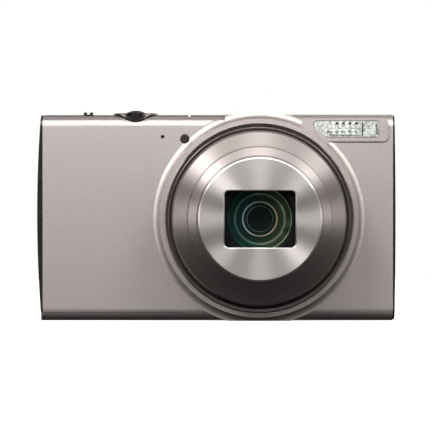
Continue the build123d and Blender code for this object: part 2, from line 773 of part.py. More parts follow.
with BuildPart() as four_way_ring:
    with BuildSketch(front_plane(pad_top_y)):
        with Locations((pad_x, pad_z)):
            Circle(pad_outer_radius)
    extrude(amount=pad_top_y - key_front_y)
    fillet(four_way_ring.faces().sort_by(Axis.Y)[-1].edges(), 0.45)
    with BuildSketch(front_plane(key_front_y + pad_flange)):
        with Locations((pad_x, pad_z)):
            Circle(pad_outer_radius + pad_flange)
    extrude(amount=pad_flange)
    with BuildSketch(front_plane(behind_y)):
        with Locations((pad_x, pad_z)):
            Circle(pad_inner_radius)
    extrude(amount=20, mode=Mode.SUBTRACT)
    with BuildSketch(front_plane(key_front_y)):
        with Locations((pad_x, pad_z)):
            with PolarLocations(7.4, 4):
                Circle(0.9)
    extrude(amount=key_front_y - key_stem_y)
four_way_ring.part.label = "four_way_ring"
export_step(four_way_ring.part, "parts/four_way_ring.step")

with BuildPart() as set_button:
    with BuildSketch(front_plane(set_top_y)):
        with Locations((pad_x, pad_z)):
            Circle(set_radius)
    extrude(amount=set_top_y - key_front_y)
    fillet(set_button.faces().sort_by(Axis.Y)[-1].edges(), 0.3)
    with BuildSketch(front_plane(key_front_y)):
        with Locations((pad_x, pad_z)):
            Circle(1.2)
    extrude(amount=key_front_y - key_stem_y)
set_button.part.label = "set_button"
export_step(set_button.part, "parts/set_button.step")

# The terminal door swings on its front edge about an upright axis.
terminal_axis_x = 49.55
terminal_axis_y = terminal_front_y + 0.4
with BuildPart() as terminal_door:
    with BuildSketch(Plane.XY.offset(terminal_low + terminal_gap)):
        with Locations((49.42, (terminal_axis_y + terminal_rear_y - terminal_gap) / 2)):
            Rectangle(0.64, terminal_rear_y - terminal_gap - terminal_axis_y)
        with Locations((terminal_axis_x, terminal_axis_y)):
            Circle(0.35)
    extrude(amount=terminal_high - terminal_low - 2 * terminal_gap)
    with Locations((48.7, 7.0, 24.6)):
        Box(0.9, 0.8, 4.0)
terminal_door.part.label = "terminal_door"
export_step(terminal_door.part, "parts/terminal_door.step")

# ================================================================ flash, lamp and sound
with BuildPart() as flash_window:
    with BuildSketch(front_plane(flash_pad_front_y - 0.1)):
        Polygon(*flash_outline, align=None)
    extrude(amount=-1.3)
    with BuildSketch(front_plane(-9.4)):
        Polygon(*flash_outline, align=None)
        offset(amount=-0.5, kind=Kind.INTERSECTION)
    extrude(amount=-0.4)
flash_window.part.label = "flash_window"
export_step(flash_window.part, "parts/flash_window.step")

# trough behind the window, open to the front
reflector_left = 27.6
reflector_length = 17.2
reflector_low = 51.5
reflector_high = 55.6
reflector_front_y = -8.9
reflector_rear_y = -4.6
reflector_wall = 0.5
tube_z = (reflector_low + reflector_high) / 2
with BuildPart() as flash_reflector:
    with BuildSketch(Plane.YZ.offset(reflector_left)):
        with BuildLine():
            Polyline(
                (reflector_front_y, reflector_low), (reflector_front_y, reflector_high),
                (reflector_rear_y, reflector_high), (reflector_rear_y, reflector_low), close=True,
            )
        make_face()
    extrude(amount=reflector_length)
    with BuildSketch(Plane.YZ.offset(reflector_left + reflector_wall)):
        with BuildLine():
            trough_low = (reflector_front_y, reflector_low + reflector_wall)
            trough_high = (reflector_front_y, reflector_high - reflector_wall)
            Line(trough_low, trough_high)
            ThreePointArc(trough_high, (-5.2, tube_z), trough_low)
        make_face()
    extrude(amount=reflector_length - 2 * reflector_wall, mode=Mode.SUBTRACT)
flash_reflector.part.label = "flash_reflector"
export_step(flash_reflector.part, "parts/flash_reflector.step")

with BuildPart() as flash_tube:
    with BuildSketch(Plane.YZ.offset(reflector_left + 0.7)):
        with Locations((-6.6, tube_z)):
            Circle(0.7)
    extrude(amount=reflector_length - 1.4)
flash_tube.part.label = "flash_tube"
export_step(flash_tube.part, "parts/flash_tube.step")

with BuildPart() as flash_capacitor:
    with BuildSketch(Plane.XY.offset(8.0)):
        with Locations((42.6, -4.3)):
            Circle(4.4)
    extrude(amount=33)
    fillet(flash_capacitor.edges().filter_by(GeomType.CIRCLE), 0.5)
flash_capacitor.part.label = "flash_capacitor"
export_step(flash_capacitor.part, "parts/flash_capacitor.step")

with BuildPart() as focus_lamp_lens:
    with BuildSketch(front_plane(-10.15)):
        with Locations((lamp_x, lamp_z)):
            Circle(lamp_radius)
    extrude(amount=-1.9)
    fillet(focus_lamp_lens.faces().sort_by(Axis.Y)[0].edges(), 0.25)
focus_lamp_lens.part.label = "focus_lamp_lens"
export_step(focus_lamp_lens.part, "parts/focus_lamp_lens.step")

with BuildPart() as microphone:
    with BuildSketch(front_plane(-9.1)):
        with Locations((mic_x, mic_z)):
            Circle(2.0)
    extrude(amount=-1.4)
microphone.part.label = "microphone"
export_step(microphone.part, "parts/microphone.step")

with BuildPart() as speaker:
    with BuildSketch(Plane.XY.offset(53.4)):
        with Locations((speaker_x, speaker_y)):
            RectangleRounded(11.0, 4.4, 1.0)
    extrude(amount=3.0)
speaker.part.label = "speaker"
export_step(speaker.part, "parts/speaker.step")

# ================================================================ inside
sensor_front_y = 4.2
with BuildPart() as image_sensor:
    with BuildSketch(lens_plane(sensor_front_y)):
        Rectangle(9.0, 8.0)
    extrude(amount=-1.0)
    # the hollow over the light-sensitive area
    with BuildSketch(lens_plane(sensor_front_y)):
        Rectangle(6.6, 5.0)
    extrude(amount=-0.2, mode=Mode.SUBTRACT)
image_sensor.part.label = "image_sensor"
export_step(image_sensor.part, "parts/image_sensor.step")

with BuildPart() as sensor_plate:
    with BuildSketch(lens_plane(5.25)):
        RectangleRounded(26, 22, 2)
        with GridLocations(21, 17, 2, 2):
            Circle(0.8, mode=Mode.SUBTRACT)
    extrude(amount=-0.6)
sensor_plate.part.label = "sensor_plate"
export_step(sensor_plate.part, "parts/sensor_plate.step")

board_y = 6.4
board_thickness = 0.8
with BuildPart() as main_board:
    with BuildSketch(front_plane(board_y)):
        with Locations((13.5, 27.5)):
            Rectangle(66.0, 46.0)
        with Locations((-16.0, 46.0)):
            Rectangle(8.0, 10.0, mode=Mode.SUBTRACT)
    extrude(amount=-board_thickness)
    # five flat chips on the front of the board
    with BuildSketch(front_plane(board_y)):
        with Locations((-8.0, 12.0), (-7.0, 40.0), (31.5, 44.0)):
            Rectangle(9.0, 9.0)
        with Locations((33.0, 10.0), (24.0, 8.0)):
            Rectangle(6.0, 5.0)
    extrude(amount=0.9)
main_board.part.label = "main_board"
export_step(main_board.part, "parts/main_board.step")

with BuildPart() as key_board:
    with BuildSketch(front_plane(6.0)):
        with Locations((-33.8, 29.5)):
            Rectangle(25.4, 47.0)
    extrude(amount=-board_thickness)
key_board.part.label = "key_board"
export_step(key_board.part, "parts/key_board.step")

with BuildPart() as display_module:
    with BuildSketch(front_plane(7.4)):
        with Locations((display_centre_x, display_centre_z)):
            Rectangle(display_width - 1.4, display_height - 1.4)
    extrude(amount=-1.5)
display_module.part.label = "display_module"
export_step(display_module.part, "parts/display_module.step")

with BuildPart() as display_cover:
    with BuildSketch(front_plane(9.05)):
        with Locations((display_centre_x, display_centre_z)):
            RectangleRounded(display_width, display_height, display_corner)
    extrude(amount=-0.9)
    chamfer(display_cover.faces().sort_by(Axis.Y)[-1].edges(), 0.15)
display_cover.part.label = "display_cover"
export_step(display_cover.part, "parts/display_cover.step")

with BuildPart() as indicator_lamp:
    with BuildSketch(front_plane(rear_y - 0.02)):
        with Locations((indicator_x, indicator_z)):
            Circle(indicator_radius)
    extrude(amount=2.4)
indicator_lamp.part.label = "indicator_lamp"
export_step(indicator_lamp.part, "parts/indicator_lamp.step")

# The chassis is a folded sheet with four lightening holes.
chassis_x = -30.4
chassis_y = 4.9
chassis_width = 32.4
with BuildPart() as chassis:
    with BuildSketch(front_plane(chassis_y)):
        with Locations((chassis_x, 29.3)):
            Rectangle(chassis_width, 47.0)
        with Locations((chassis_x, 21.0)):
            with GridLocations(15, 16, 2, 2):
                Circle(4.5, mode=Mode.SUBTRACT)
    extrude(amount=-0.6)
    with BuildSketch(front_plane(chassis_y)):
        with Locations((chassis_x, 52.3)):
            Rectangle(chassis_width, 1.0)
    extrude(amount=9.0)
chassis.part.label = "chassis"
export_step(chassis.part, "parts/chassis.step")

battery_length = 40.2
battery_width = 34.6
battery_depth = 5.2
battery_x = -31.2
battery_y = -5.8
battery_low = 3.25
contact_pitch = 4.0
contact_count = 4
with BuildPart() as battery:
    with Locations((battery_x, battery_y, battery_low + battery_length / 2)):
        Box(battery_width, battery_depth, battery_length)
    fillet(battery.edges().filter_by(Axis.Z), 0.8)
    with BuildSketch(Plane.XY.offset(battery_low + battery_length)):
        with Locations((battery_x - 9, battery_y)):
            with GridLocations(contact_pitch, 1, contact_count, 1):
                Rectangle(2.4, 3.0)
    extrude(amount=-0.4, mode=Mode.SUBTRACT)
battery.part.label = "battery"
export_step(battery.part, "parts/battery.step")

# back wall and top wall of the battery's bay, with the sprung contacts under the top wall
holder_x = -31.4
holder_width = 34.4
with BuildPart() as battery_holder:
    with Locations((holder_x, -2.6, 24.4)):
        Box(holder_width, 0.6, 41.6)
    with Locations((holder_x, -5.6, 44.7)):
        Box(holder_width, 6.6, 1.0)
    with Locations((battery_x - 9, battery_y, 43.8)):
        with GridLocations(contact_pitch, 1, contact_count, 1):
            Box(1.6, 2.0, 0.9)
battery_holder.part.label = "battery_holder"
export_step(battery_holder.part, "parts/battery_holder.step")

with BuildPart() as battery_latch:
    with Locations((battery_x, -1.4, 4.2)):
        Box(5.0, 1.5, 1.6)
    with Locations((battery_x, -1.75, 3.1)):
        Box(3.0, 0.8, 0.6)
battery_latch.part.label = "battery_latch"
export_step(battery_latch.part, "parts/battery_latch.step")

card_x = -31.5
card_y = 2.6
card_low = 3.2
card_width = 24.0
card_length = 32.0
card_thickness = 2.1
card_corner = 3.5             # the cut corner
with BuildPart() as memory_card:
    with Locations((card_x, card_y, card_low + card_length / 2)):
        Box(card_width, card_thickness, card_length)
    right_edges = memory_card.edges().filter_by(Axis.Y).sort_by(Axis.X)[-2:]
    chamfer(right_edges.sort_by(Axis.Z)[-1], card_corner)
memory_card.part.label = "memory_card"
export_step(memory_card.part, "parts/memory_card.step")

with BuildPart() as card_socket:
    with Locations((card_x, card_y, 21.5)):
        Box(card_width + 2, card_thickness + 1.5, 33.0)
    with Locations((card_x, card_y, 20.0)):
        Box(card_width + 0.3, card_thickness + 0.3, 33.0, mode=Mode.SUBTRACT)
card_socket.part.label = "card_socket"
export_step(card_socket.part, "parts/card_socket.step")

# metal shells of the two sockets behind the terminal door
# height above the base, depth, height and length of each
sockets = {"usb_socket": (30.6, 3.9, 7.7, 8.6), "hdmi_socket": (20.9, 3.2, 11.0, 7.8)}
socket_y = 4.2
socket_shell = 0.3            # thickness of the sheet metal
socket_mouth_x = 48.2
for socket_name, (socket_z, socket_depth, socket_height, socket_length) in sockets.items():
    with BuildPart() as socket:
        with BuildSketch(Plane.YZ.offset(socket_mouth_x - socket_length)):
            with Locations((socket_y, socket_z)):
                Rectangle(socket_depth, socket_height)
        extrude(amount=socket_length)
        with BuildSketch(Plane.YZ.offset(socket_mouth_x - socket_length + 0.8)):
            with Locations((socket_y, socket_z)):
                Rectangle(socket_depth - 2 * socket_shell, socket_height - 2 * socket_shell)
        extrude(amount=socket_length, mode=Mode.SUBTRACT)
        with BuildSketch(Plane.YZ.offset(socket_mouth_x - socket_length + 0.4)):
            with Locations((socket_y, socket_z)):
                Rectangle(0.9, socket_height - 2.2)
        extrude(amount=socket_length - 1.6)
    socket.part.label = socket_name
    export_step(socket.part, f"parts/{socket_name}.step")

# can of the motor, with its gearbox behind it
motor_x = -10.4
motor_z = 6.9
motor_front_y = -8.6
motor_length = 9.0
motor_radius = 2.9
with BuildPart() as zoom_motor:
    with BuildSketch(front_plane(motor_front_y)):
        with Locations((motor_x, motor_z)):
            Circle(motor_radius)
    extrude(amount=-motor_length)
    with BuildSketch(front_plane(motor_front_y + motor_length)):
        with Locations((motor_x, motor_z)):
            RectangleRounded(2 * motor_radius, 2 * motor_radius, 1.0)
    extrude(amount=-3.6)
zoom_motor.part.label = "zoom_motor"
export_step(zoom_motor.part, "parts/zoom_motor.step")
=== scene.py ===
import bpy
import bmesh
import json
import math
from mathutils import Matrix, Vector


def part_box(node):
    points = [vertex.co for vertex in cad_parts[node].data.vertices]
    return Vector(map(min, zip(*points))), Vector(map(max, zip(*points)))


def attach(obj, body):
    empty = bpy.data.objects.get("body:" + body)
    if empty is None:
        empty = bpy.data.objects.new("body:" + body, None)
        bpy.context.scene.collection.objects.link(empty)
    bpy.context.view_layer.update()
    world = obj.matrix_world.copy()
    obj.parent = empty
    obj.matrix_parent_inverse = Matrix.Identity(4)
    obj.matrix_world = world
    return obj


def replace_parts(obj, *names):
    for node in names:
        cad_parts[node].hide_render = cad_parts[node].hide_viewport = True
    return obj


# Compact digital camera, in metres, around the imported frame.
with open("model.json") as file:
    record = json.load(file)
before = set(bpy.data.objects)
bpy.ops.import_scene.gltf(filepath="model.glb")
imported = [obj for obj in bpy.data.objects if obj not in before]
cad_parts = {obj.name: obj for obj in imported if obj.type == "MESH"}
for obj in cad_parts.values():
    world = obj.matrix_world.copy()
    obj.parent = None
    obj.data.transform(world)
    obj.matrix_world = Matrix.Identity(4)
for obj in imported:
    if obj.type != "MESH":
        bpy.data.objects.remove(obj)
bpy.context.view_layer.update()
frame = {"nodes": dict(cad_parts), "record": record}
nodes = frame["nodes"]
scene = bpy.context.scene
MM = 0.001
WHITE = (1, 1, 1, 1)


# ---------------------------------------------------------------- places read from the frame
def centre(name):
    """Middle of a node's box."""
    low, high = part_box(name)
    return (low + high) / 2


panel_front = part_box("front_panel")[0].y
rear_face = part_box("rear_cover")[1].y
ring_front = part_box("lens_trim_ring")[0].y
element_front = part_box("front_element")[0].y
lens_centre = centre("lens_trim_ring")
LENS_X = lens_centre.x
LENS_Z = lens_centre.z


def half_width(name):
    """Half of a node's size along X, which is the radius of a round node."""
    low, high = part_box(name)
    return (high.x - low.x) / 2


# ---------------------------------------------------------------- node helpers
NOISE_LOW = 0.3               # nearly all of the noise lies between these two
NOISE_HIGH = 0.7


class Shader:
    """A material's node tree, with its Principled shader at hand."""

    def __init__(self, name, colour, roughness, metallic=0.0, **inputs):
        self.material = bpy.data.materials.new(name)
        self.material.use_nodes = True
        self.tree = self.material.node_tree
        self.shader = self.tree.nodes["Principled BSDF"]
        self.shader.inputs["Base Color"].default_value = (*colour, 1)
        self.shader.inputs["Roughness"].default_value = roughness
        self.shader.inputs["Metallic"].default_value = metallic
        for key, value in inputs.items():
            self.shader.inputs[key.replace("_", " ")].default_value = value
        self.coords = self.node("ShaderNodeTexCoord").outputs["Object"]

    def node(self, kind, **settings):
        made = self.tree.nodes.new(kind)
        for key, value in settings.items():
            setattr(made, key, value)
        return made

    def link(self, source, target):
        self.tree.links.new(source, target)

    def noise(self, scale, detail=3.0, stretch=None):
        """Noise in millimetres: scale is features per millimetre."""
        texture = self.node("ShaderNodeTexNoise")
        texture.inputs["Scale"].default_value = scale / MM
        texture.inputs["Detail"].default_value = detail
        source = self.coords
        if stretch:
            mapping = self.node("ShaderNodeMapping")
            mapping.inputs["Scale"].default_value = stretch
            self.link(source, mapping.inputs["Vector"])
            source = mapping.outputs["Vector"]
        self.link(source, texture.inputs["Vector"])
        return texture.outputs["Fac"]

    def spread(self, factor, low, high):
        """Maps a 0 to 1 factor to a range of numbers."""
        ranger = self.node("ShaderNodeMapRange")
        ranger.inputs["From Min"].default_value = NOISE_LOW
        ranger.inputs["From Max"].default_value = NOISE_HIGH
        ranger.inputs["To Min"].default_value = low
        ranger.inputs["To Max"].default_value = high
        self.link(factor, ranger.inputs["Value"])
        return ranger.outputs["Result"]

    def blend_colours(self, factor, dark, light):
        """Base colour that varies between two colours."""
        ramp = self.node("ShaderNodeValToRGB")
        ramp.color_ramp.elements[0].position = NOISE_LOW
        ramp.color_ramp.elements[1].position = NOISE_HIGH
        ramp.color_ramp.elements[0].color = (*dark, 1)
        ramp.color_ramp.elements[1].color = (*light, 1)
        self.link(factor, ramp.inputs["Fac"])
        self.link(ramp.outputs["Color"], self.shader.inputs["Base Color"])

    def rough(self, factor, low, high):
        self.link(self.spread(factor, low, high), self.shader.inputs["Roughness"])

    def bump(self, height, strength, distance):
        """Bump whose height is distance millimetres."""
        node = self.node("ShaderNodeBump")
        node.inputs["Strength"].default_value = strength
        node.inputs["Distance"].default_value = distance * MM
        self.link(height, node.inputs["Height"])
        self.link(node.outputs["Normal"], self.shader.inputs["Normal"])


def shade(colour, factor):
    """A colour, lighter or darker."""
    return tuple(min(1.0, channel * factor) for channel in colour)


# ---------------------------------------------------------------- materials
WARM_SILVER = (0.53, 0.475, 0.457)


def blasted_metal():
    """Bead-blasted, anodised sheet: fine sparkling grain."""
    made = Shader("blasted_metal", WARM_SILVER, 0.54, 0.96)
    grain = made.noise(2.4, detail=4.0)
    made.blend_colours(grain, shade(WARM_SILVER, 0.86), shade(WARM_SILVER, 1.14))
    made.rough(made.noise(2.2, detail=2.0), 0.49, 0.59)
    made.bump(made.noise(5.0, detail=2.0), strength=0.3, distance=0.02)
    return made.material


def spun_metal(name, colour, roughness, ring_scale):
    """Metal turned on a lathe: fine rings round the lens axis and stretched highlights."""
    made = Shader(name, colour, roughness, 1.0, Anisotropic=0.9, Anisotropic_Rotation=0.25)
    tangent = made.node("ShaderNodeTangent", direction_type="RADIAL", axis="Y")
    made.link(tangent.outputs["Tangent"], made.shader.inputs["Tangent"])
    offset = made.node("ShaderNodeMapping")
    offset.inputs["Location"].default_value = (-LENS_X, 0, -LENS_Z)
    made.link(made.coords, offset.inputs["Vector"])
    flat = made.node("ShaderNodeMapping")
    flat.inputs["Scale"].default_value = (1, 0, 1)
    made.link(offset.outputs["Vector"], flat.inputs["Vector"])
    length = made.node("ShaderNodeVectorMath", operation="LENGTH")
    made.link(flat.outputs["Vector"], length.inputs[0])
    rings = made.node("ShaderNodeTexNoise", noise_dimensions="1D")
    rings.inputs["Scale"].default_value = ring_scale / MM
    rings.inputs["Detail"].default_value = 2.0
    made.link(length.outputs["Value"], rings.inputs["W"])
    made.blend_colours(rings.outputs["Fac"], shade(colour, 0.93), shade(colour, 1.06))
    made.rough(rings.outputs["Fac"], roughness - 0.03, roughness + 0.04)
    return made.material


def polished_metal(name, colour, roughness):
    """Plated or polished metal with faint smears."""
    made = Shader(name, colour, roughness, 1.0)
    smear = made.noise(0.25, detail=4.0)
    made.rough(smear, roughness * 0.8, roughness * 1.4)
    made.blend_colours(smear, shade(colour, 0.95), shade(colour, 1.04))
    return made.material


def moulded_plastic(name, colour, roughness, texture_height):
    """Plastic with the tool's spark-eroded texture."""
    made = Shader(name, colour, roughness)
    grain = made.noise(4.0, detail=3.0)
    made.blend_colours(made.noise(0.4, detail=3.0), shade(colour, 0.85), shade(colour, 1.2))
    made.rough(grain, roughness - 0.05, roughness + 0.08)
    made.bump(grain, strength=0.5, distance=texture_height)
    return made.material


def clear_glass(name, colour, roughness=0.02, index=1.5):
    """Glass or clear plastic, faintly uneven in tint."""
    made = Shader(name, colour, roughness, 0.0, Transmission_Weight=1.0, IOR=index)
    made.blend_colours(made.noise(0.15, detail=2.0), shade(colour, 0.96), shade(colour, 1.03))
    return made.material


def screen_glass():
    """Black glass over the display, with a faint smear in its gloss."""
    made = Shader("screen_glass", (0.012, 0.012, 0.014), 0.06, Coat_Weight=1.0, Coat_Roughness=0.03)
    made.rough(made.noise(0.12, detail=4.0), 0.04, 0.12)
    made.blend_colours(made.noise(0.05, detail=2.0), (0.010, 0.010, 0.012), (0.016, 0.016, 0.020))
    return made.material


def circuit_board():
    """Solder mask with lighter copper under it."""
    made = Shader("circuit_board", (0.02, 0.12, 0.06), 0.35, Coat_Weight=0.5)
    made.blend_colours(made.noise(0.8, detail=1.0, stretch=(1, 1, 3)), (0.01, 0.09, 0.04), (0.03, 0.2, 0.09))
    return made.material


MATERIALS = {
    "panel_metal": blasted_metal(),
    "barrel_metal": spun_metal("spun_barrel", (0.44, 0.39, 0.375), 0.42, 6.0),
    "ring_chrome": polished_metal("ring_chrome", (0.66, 0.60, 0.58), 0.12),
    "black_plastic": moulded_plastic("black_plastic", (0.018, 0.018, 0.019), 0.5, 0.03),
    "gloss_black": moulded_plastic("gloss_black", (0.016, 0.015, 0.015), 0.22, 0.004),
    "key_plastic": moulded_plastic("key_plastic", (0.028, 0.028, 0.03), 0.38, 0.01),
    "dark_chrome": polished_metal("dark_chrome", (0.32, 0.29, 0.28), 0.16),
    "lens_glass": clear_glass("lens_glass", (0.85, 0.95, 0.9)),
    "clear_plastic": clear_glass("clear_plastic", (0.95, 0.97, 0.95), 0.05, 1.49),
    "lamp_plastic": moulded_plastic("lamp_plastic", (0.03, 0.022, 0.022), 0.12, 0.002),
    "screen_glass": screen_glass(),
    "steel": polished_metal("plated_steel", (0.52, 0.52, 0.53), 0.28),
    "board": circuit_board(),
    "sensor": clear_glass("sensor_filter", (0.3, 0.2, 0.4), 0.05),
    "capacitor_sleeve": moulded_plastic("capacitor_sleeve", (0.02, 0.02, 0.03), 0.3, 0.01),
    "battery_shell": moulded_plastic("battery_shell", (0.05, 0.05, 0.055), 0.4, 0.01),
    "card_plastic": moulded_plastic("card_plastic", (0.02, 0.03, 0.10), 0.4, 0.01),
    "latch_plastic": moulded_plastic("latch_plastic", (0.75, 0.25, 0.04), 0.4, 0.01),
    "lamp_green": moulded_plastic("lamp_green", (0.05, 0.35, 0.08), 0.2, 0.002),
}

# The cap is brighter than the barrels, and the microphone darker than its slot.
CAP_METAL = spun_metal("spun_cap", (0.80, 0.74, 0.72), 0.38, 6.0)
slot_of = {row["node"]: row["material_slot"] for row in frame["record"]["subparts"]}
for name, thing in nodes.items():
    thing.data.materials.clear()
    thing.data.materials.append(MATERIALS[slot_of[name]])
nodes["front_cap"].data.materials[0] = CAP_METAL
nodes["microphone"].data.materials[0] = MATERIALS["black_plastic"]


# ---------------------------------------------------------------- mesh helpers
def mesh_piece(name, builder, slot, body, material=None, smooth=True):
    """Turns a bmesh into a named piece that rides on a body."""
    mesh = bpy.data.meshes.new(name)
    bmesh.ops.recalc_face_normals(builder, faces=builder.faces)
    builder.to_mesh(mesh)
    builder.free()
    mesh.materials.append(material or MATERIALS[slot])
    for face in mesh.polygons:
        face.use_smooth = smooth
    piece = bpy.data.objects.new(name, mesh)
    scene.collection.objects.link(piece)
    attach(piece, body)
    return piece


LATHE_STEPS = 160             # corners in each ring of a turned piece
ON_AXIS = 1e-7                # radius, in metres, under which a ring is a single point


def lathe(name, profile, slot, body, material=None, closed=True):
    """Turns a profile of (radius, depth) points, in metres, round the lens axis."""
    builder = bmesh.new()
    rings = []
    for radius, depth in profile:
        count = 1 if radius < ON_AXIS else LATHE_STEPS
        turns = [2 * math.pi * step / count for step in range(count)]
        rings.append([
            builder.verts.new((LENS_X + radius * math.cos(turn), depth, LENS_Z + radius * math.sin(turn)))
            for turn in turns
        ])
    pairs = list(zip(rings, rings[1:]))
    if closed and len(rings[0]) > 1:
        pairs.append((rings[-1], rings[0]))
    for first, second in pairs:
        for step in range(LATHE_STEPS):
            after = (step + 1) % LATHE_STEPS
            corners = [first[step % len(first)], first[after % len(first)],
                       second[after % len(second)], second[step % len(second)]]
            corners = list(dict.fromkeys(corners))
            if len(corners) > 2:
                builder.faces.new(corners)
    piece = mesh_piece(name, builder, slot, body, material)
    crease_sharp(piece)
    return piece


def crease_sharp(piece, degrees=30):
    """Keeps edges sharper than the limit as crisp edges."""
    mesh = piece.data
    sharp = bmesh.new()
    sharp.from_mesh(mesh)
    for edge in sharp.edges:
        if len(edge.link_faces) == 2 and edge.calc_face_angle(0) > math.radians(degrees):
            edge.smooth = False
    sharp.to_mesh(mesh)
    sharp.free()


def prism(builder, outline, depth_front, depth_back):
    """Solid between two depths along Y, from an outline of (x, z) points."""
    front = [builder.verts.new((x, depth_front, z)) for x, z in outline]
    back = [builder.verts.new((x, depth_back, z)) for x, z in outline]
    builder.faces.new(front)
    builder.faces.new(list(reversed(back)))
    count = len(outline)
    for index in range(count):
        after = (index + 1) % count
        builder.faces.new([front[index], back[index], back[after], front[after]])


def ball(builder, middle, radii, segments, rings):
    """Ellipsoid round a place, with its three radii, all in metres."""
    made = bmesh.ops.create_uvsphere(builder, u_segments=segments, v_segments=rings, radius=1.0)
    for vert in made["verts"]:
        vert.co = Vector([place + unit * radius for place, unit, radius in zip(middle, vert.co, radii)])


def dome_profile(radius, edge_depth, apex_depth, steps=14):
    """Points of a spherical cap, from its edge to its apex on the axis."""
    rise = apex_depth - edge_depth
    sphere = (radius ** 2 + rise ** 2) / (2 * abs(rise))
    half = math.asin(radius / sphere)
    side = math.copysign(1, rise)
    points = []
    for step in range(steps + 1):
        angle = half * (1 - step / steps)
        points.append((sphere * math.sin(angle), apex_depth - side * sphere * (1 - math.cos(angle))))
    return points


# ---------------------------------------------------------------- optics seen through the lens window
def coated_glass(name, tint, coating, index=1.18):
    """Lens glass whose reflection has the colour of its coating."""
    made = Shader(name, tint, 0.015, 0.0, Transmission_Weight=1.0, IOR=index)
    made.shader.inputs["Specular Tint"].default_value = (*coating, 1)
    made.blend_colours(made.noise(0.15, detail=2.0), shade(tint, 0.98), tint)
    return made.material


def lens_black(name, colour, roughness, gloss=0.12):
    """Blackened surface inside the lens, with a fine grain."""
    made = Shader(name, colour, roughness, Specular_IOR_Level=gloss)
    grain = made.noise(3.0, detail=2.0)
    made.blend_colours(grain, shade(colour, 0.7), shade(colour, 1.3))
    made.bump(grain, strength=0.3, distance=0.01)
    return made.material


REFLECTION_REACH = 4 * MM           # distance from the lens axis at which a painted reflection's colour is fully reached


def painted_reflection_ring(name, left, right, roughness=0.35):
    """Surface with a painted reflection of the coatings' colours, shading from left to right across the lens.
    """
    made = Shader(name, left, roughness, 0.0)
    across = made.node("ShaderNodeSeparateXYZ")
    made.link(made.coords, across.inputs["Vector"])
    ranger = made.node("ShaderNodeMapRange")
    ranger.inputs["From Min"].default_value = LENS_X - REFLECTION_REACH
    ranger.inputs["From Max"].default_value = LENS_X + REFLECTION_REACH
    made.link(across.outputs["X"], ranger.inputs["Value"])
    ramp = made.node("ShaderNodeValToRGB")
    ramp.color_ramp.elements[0].color = (*left, 1)
    ramp.color_ramp.elements[1].color = (*right, 1)
    made.link(ranger.outputs["Result"], ramp.inputs["Fac"])
    made.link(ramp.outputs["Color"], made.shader.inputs["Base Color"])
    return made.material


def behind_front(depth):
    """Depth in metres of a place so many millimetres behind the foremost point of the front element."""
    return element_front + depth * MM


BARREL_BLACK = lens_black("barrel_black", (0.003, 0.003, 0.003), 0.5)
nodes["front_cell"].data.materials[0] = BARREL_BLACK
nodes["shutter_unit"].data.materials[0] = BARREL_BLACK
BLADE_BLACK = lens_black("blade_black", (0.03, 0.03, 0.03), 0.42, 0.5)
for name in nodes:
    if name.startswith("barrier_blade"):
        nodes[name].data.materials[0] = BLADE_BLACK

# The front glass is a shallow bowl: its outer dome, then its inner dome from the middle outwards.
FRONT_RADIUS = 9.3 * MM
front_outside = dome_profile(FRONT_RADIUS, behind_front(1.3), element_front)
front_inside = dome_profile(FRONT_RADIUS, behind_front(2.3), behind_front(1.9))
front_coating = coated_glass("front_coating", (0.97, 1.0, 0.98), (0.25, 0.9, 0.75), 1.3)
front_glass = lathe("front_glass", front_outside + front_inside[::-1], "lens_glass", "inner_lens",
                    front_coating, closed=False)
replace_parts(front_glass, "front_element")

# Stepped cell behind the front glass. It stays short, to clear the zoom lens when the lens is retracted.
# Each step is the radius of its edge and its depth behind the front, in millimetres. A slope leads from
# it to the foot of the next one, which stands this much wider and less deep than the next edge.
STEPS = [(9.2, 2.5), (8.4, 2.8), (6.9, 3.2), (6.6, 3.65), (4.7, 4.15), (4.35, 4.7), (3.3, 5.05)]
STEP_WIDTH = 0.12
STEP_RISE = 0.15
CELL_BACK = behind_front(5.7)
outer_radius = STEPS[0][0] * MM
bore_radius, bore_depth = STEPS[-1]
cell_profile = []
for (radius, depth), (inner_radius, inner_depth) in zip(STEPS, STEPS[1:]):
    cell_profile.append((radius * MM, behind_front(depth)))
    cell_profile.append(((inner_radius + STEP_WIDTH) * MM, behind_front(inner_depth - STEP_RISE)))
cell_profile.append((bore_radius * MM, behind_front(bore_depth)))
cell_profile.append((bore_radius * MM, CELL_BACK))
cell_profile.append((outer_radius, CELL_BACK))
# The cell's colour, teal at the left and olive at the right, is a painted reflection of the coatings.
lathe("lens_steps", cell_profile, "black_plastic", "inner_lens",
      painted_reflection_ring("cell_painted_reflection", (0.004, 0.048, 0.041), (0.050, 0.070, 0.028), 1.0))

# Bright painted reflections on the edges of the elements: radius, depth and half their thickness in
# millimetres, then the colours of the painted reflection at the left and at the right.
EDGES = [
    (8.55, 2.62, 0.10, (0.10, 0.22, 0.18), (0.75, 0.90, 0.70)),
    (6.85, 3.05, 0.09, (0.25, 0.45, 0.40), (0.75, 0.75, 0.62)),
    (6.50, 3.40, 0.08, (0.18, 0.28, 0.26), (0.55, 0.52, 0.42)),
    (4.55, 3.95, 0.18, (0.75, 0.85, 0.88), (1.00, 0.72, 0.48)),
    (3.35, 4.90, 0.09, (0.30, 0.32, 0.33), (0.42, 0.32, 0.28)),
]
EDGE_CORNERS = 8
for index, (radius, depth, width, left, right) in enumerate(EDGES):
    turns = [2 * math.pi * corner / EDGE_CORNERS for corner in range(EDGE_CORNERS)]
    ring = [((radius + width * math.cos(turn)) * MM, behind_front(depth + width * math.sin(turn)))
            for turn in turns]
    edge_painted_reflection = painted_reflection_ring(f"edge_painted_reflection_{index}", left, right)
    lathe(f"element_edge_{index}", ring, "lens_glass", "inner_lens", edge_painted_reflection)

INNER_THICKNESS = 0.3
